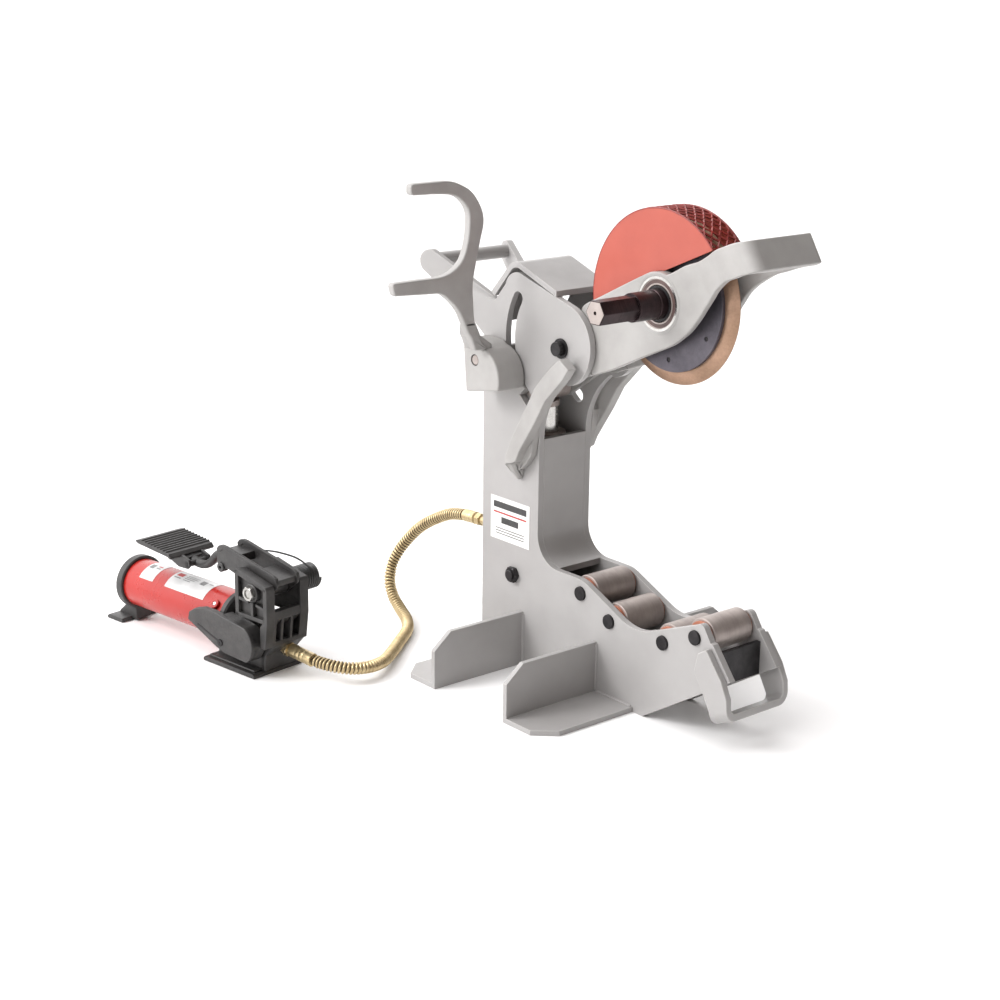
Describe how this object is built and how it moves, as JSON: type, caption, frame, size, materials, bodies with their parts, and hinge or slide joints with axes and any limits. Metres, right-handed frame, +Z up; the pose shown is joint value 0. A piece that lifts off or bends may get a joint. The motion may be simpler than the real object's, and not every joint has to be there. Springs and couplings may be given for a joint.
{
  "type": "hydraulic pipe cutter",
  "caption": "Hydraulic pipe cutter: a steel frame with a roller cradle, a swinging cutter-wheel arm and a foot pump on a short hose.",
  "frame": {"origin": "centre of the column's bottom plate on the ground face", "axes": "+X from the column towards the roller cradle, +Z up, -Y the side that the drive shaft stands out on"},
  "size_m": [1.2506, 0.8106, 0.889],
  "materials": {
    "paint": "satin",
    "dark_steel": "satin",
    "steel": "satin",
    "bright_steel": "polished",
    "bronze": "satin",
    "wheel_steel": "satin",
    "guard_paint": "satin",
    "label": "satin",
    "pump_black": "satin",
    "pump_red": "gloss",
    "brass": "satin",
    "hose_guard": "satin"
  },
  "bodies": {
    "frame": {"near_side_plate": "paint", "far_side_plate": "paint", "front_plate": "paint", "rear_plate": "paint", "bottom_plate": "paint", "top_cover": "paint", "rear_handle_bar": "paint", "front_handle": "paint", "near_feet": "paint", "far_feet": "paint", "near_lug": "paint", "far_lug": "paint", "roller_axles": "dark_steel", "pivot_shaft": "dark_steel", "end_plate": "dark_steel", "cylinder_bolt": "dark_steel", "pump_spring": "dark_steel", "ram_gland": "steel", "pivot_rings": "bright_steel", "pump_bolt": "bright_steel", "label_plate": "label", "pump_labels": "label", "pump_base": "pump_black", "pump_end_ring": "pump_black", "ram_cylinder": "pump_black", "pump_tube": "pump_red", "filler_plug": "pump_red", "hose_sleeves": "brass", "hose_nuts": "brass", "ram_port": "brass", "hose": "hose_guard"},
    "arm": {"cutter_arm": "paint", "arm_bushes": "bronze", "arm_pin": "steel", "shaft_bearings": "steel", "bearing_rings": "bright_steel", "guard_sides": "guard_paint", "guard_band": "guard_paint", "torque_bracket": "paint", "bracket_bolt": "dark_steel"},
    "pin_roller": {"arm_roller": "steel"},
    "cutter": {"drive_shaft": "dark_steel", "cutter_wheel": "wheel_steel", "wheel_flanges": "dark_steel", "flange_screws": "dark_steel"},
    "ram": {"ram_plunger": "bright_steel", "ram_cap": "steel"},
    "pedal": {"pump_lever": "pump_black", "pump_pedal": "pump_black"},
    "pump_plunger": {"pump_piston": "bright_steel"},
    "release": {"release_pedal": "pump_black"},
    "roller_body_1": {"roller_1": "steel", "roller_bushes_1": "bronze"},
    "roller_body_2": {"roller_2": "steel", "roller_bushes_2": "bronze"},
    "roller_body_3": {"roller_3": "steel", "roller_bushes_3": "bronze"},
    "roller_body_4": {"roller_4": "steel", "roller_bushes_4": "bronze"}
  },
  "joints": [
    {"name": "arm_pivot", "type": "hinge", "parent": "frame", "child": "arm", "pos_m": [0.131, 0, 0.6056], "axis": [0, 1, 0], "range_deg": [0, 50]},
    {"name": "shaft_spin", "type": "hinge", "parent": "arm", "child": "cutter", "pos_m": [0.3463, 0, 0.7132], "axis": [0, 1, 0], "continuous": true},
    {"name": "pin_roller_spin", "type": "hinge", "parent": "arm", "child": "pin_roller", "pos_m": [0.03346, 0, 0.5114], "axis": [0, 1, 0], "continuous": true},
    {"name": "ram_extend", "type": "slide", "parent": "frame", "child": "ram", "axis": [0, 0, 1], "range_m": [0, 0.1]},
    {"name": "roller_spin_1", "type": "hinge", "parent": "frame", "child": "roller_body_1", "pos_m": [0.1949, 0, 0.1786], "axis": [0, 1, 0], "continuous": true},
    {"name": "roller_spin_2", "type": "hinge", "parent": "frame", "child": "roller_body_2", "pos_m": [0.2691, 0, 0.1475], "axis": [0, 1, 0], "continuous": true},
    {"name": "roller_spin_3", "type": "hinge", "parent": "frame", "child": "roller_body_3", "pos_m": [0.4011, 0, 0.1475], "axis": [0, 1, 0], "continuous": true},
    {"name": "roller_spin_4", "type": "hinge", "parent": "frame", "child": "roller_body_4", "pos_m": [0.4753, 0, 0.1786], "axis": [0, 1, 0], "continuous": true},
    {"name": "pedal_hinge", "type": "hinge", "parent": "frame", "child": "pedal", "pos_m": [-0.21308, -0.43665, 0.16], "axis": [0.1392, -0.9903, 0], "range_deg": [0, 5], "stiffness_Nm_per_rad": 60, "springref_deg": -6.88},
    {"name": "piston_slide", "type": "slide", "parent": "frame", "child": "pump_plunger", "axis": [0, 0, -1], "range_m": [0, 0.004]},
    {"name": "release_hinge", "type": "hinge", "parent": "frame", "child": "release", "pos_m": [-0.27603, -0.50609, 0.052], "axis": [0.1392, -0.9903, 0], "range_deg": [0, 6], "stiffness_Nm_per_rad": 20, "springref_deg": -5.73}
  ],
  "couplings": [
    {"joint": "ram_extend", "follows": "arm_pivot", "m_per_rad": 0.1145},
    {"joint": "piston_slide", "follows": "pedal_hinge", "m_per_rad": 0.04}
  ]
}
